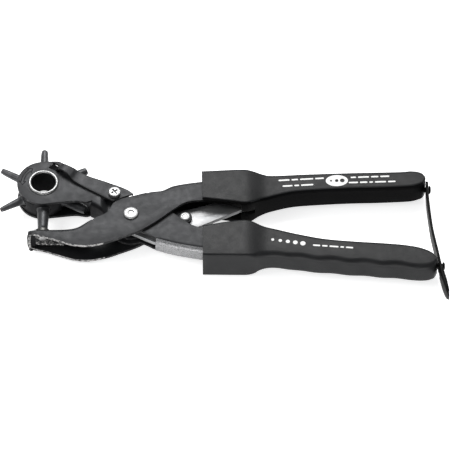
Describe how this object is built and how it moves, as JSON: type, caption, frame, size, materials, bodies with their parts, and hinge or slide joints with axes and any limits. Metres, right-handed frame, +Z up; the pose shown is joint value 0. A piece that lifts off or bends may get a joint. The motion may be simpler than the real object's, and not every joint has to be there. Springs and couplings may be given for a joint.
{
  "type": "rotary hole punch pliers",
  "caption": "Rotary hole punch pliers with a compound pressure lever, a revolving wheel of graded punch tubes, an anvil jaw and a closing strap.",
  "frame": {"origin": "centre of the bounding box's base, on the surface the pliers lie on", "axes": "+X along the tool towards the grip ends, +Y in the tool's plane from the lower handle to the upper handle, +Z up, square to the tool's plane"},
  "size_m": [0.2468, 0.1002, 0.0205],
  "materials": {
    "black_coated_steel": "fine satin black coating over pressed steel",
    "spring_steel": "blackened spring steel",
    "bright_zinc_plate": "bright zinc plated, lightly brushed",
    "plated_fasteners": "nickel plated, satin",
    "nickel_ring": "polished nickel",
    "dark_steel": "blackened steel, oiled",
    "punch_steel": "gunmetal hardened steel with a ground edge",
    "anvil_metal": "dark ground face",
    "black_grip_plastic": "fine textured black plastic",
    "black_strap_rubber": "smooth black rubbery plastic"
  },
  "bodies": {
    "anvil_lever": {"anvil_lever": "black_coated_steel", "anvil": "anvil_metal", "anvil_rivet": "plated_fasteners", "fulcrum_pin": "dark_steel", "opening_spring": "spring_steel", "pivot_rivet": "plated_fasteners", "upper_grip": "black_grip_plastic", "strap_knob_upper": "black_grip_plastic"},
    "punch_jaw": {"punch_jaw": "black_coated_steel", "wheel_axle": "dark_steel", "axle_ring_upper": "nickel_ring", "axle_ring_lower": "nickel_ring", "index_screw": "plated_fasteners", "index_spacer": "dark_steel", "index_spring": "spring_steel", "link_rivet": "plated_fasteners"},
    "punch_wheel": {"punch_wheel": "dark_steel", "punch_tube_4_5mm": "punch_steel", "punch_tube_4_0mm": "punch_steel", "punch_tube_3_5mm": "punch_steel", "punch_tube_3_0mm": "punch_steel", "punch_tube_2_5mm": "punch_steel", "punch_tube_2_0mm": "punch_steel"},
    "lower_handle": {"lower_handle": "black_coated_steel", "lower_grip": "black_grip_plastic", "strap_knob_lower": "black_grip_plastic"},
    "pressure_lever": {"pressure_lever": "bright_zinc_plate"},
    "closing_strap": {"closing_strap": "black_strap_rubber"}
  },
  "joints": [
    {"name": "handle_pivot", "type": "hinge", "parent": "anvil_lever", "child": "lower_handle", "pos_m": [-0.05089, 0.00155, 0.0096], "axis": [0, 0, -1], "range_deg": [-2.4, 20], "deforming": ["opening_spring", "closing_strap"]},
    {"name": "jaw_pivot", "type": "hinge", "parent": "anvil_lever", "child": "punch_jaw", "pos_m": [-0.05089, 0.00155, 0.0096], "axis": [0, 0, -1], "range_deg": [-1.1, 9.1]},
    {"name": "pressure_lever_pivot", "type": "hinge", "parent": "punch_jaw", "child": "pressure_lever", "pos_m": [-0.02119, 0.00275, 0.0096], "axis": [0, 0, 1], "range_deg": [-1.9, 15.7]},
    {"name": "wheel_turn", "type": "hinge", "parent": "punch_jaw", "child": "punch_wheel", "pos_m": [-0.09929, 0.02315, 0.0096], "axis": [0, 0, 1], "continuous": true, "deforming": ["index_spring"]},
    {"name": "strap_swing", "type": "hinge", "parent": "anvil_lever", "child": "closing_strap", "pos_m": [0.11251, 0.02355, 0.0096], "axis": [0, 0, 1], "range_deg": [0, 80], "deforming": ["closing_strap"]}
  ],
  "couplings": [
    {"joint": "jaw_pivot", "follows": "handle_pivot", "ratio": 0.45},
    {"joint": "pressure_lever_pivot", "follows": "handle_pivot", "ratio": 0.78}
  ]
}
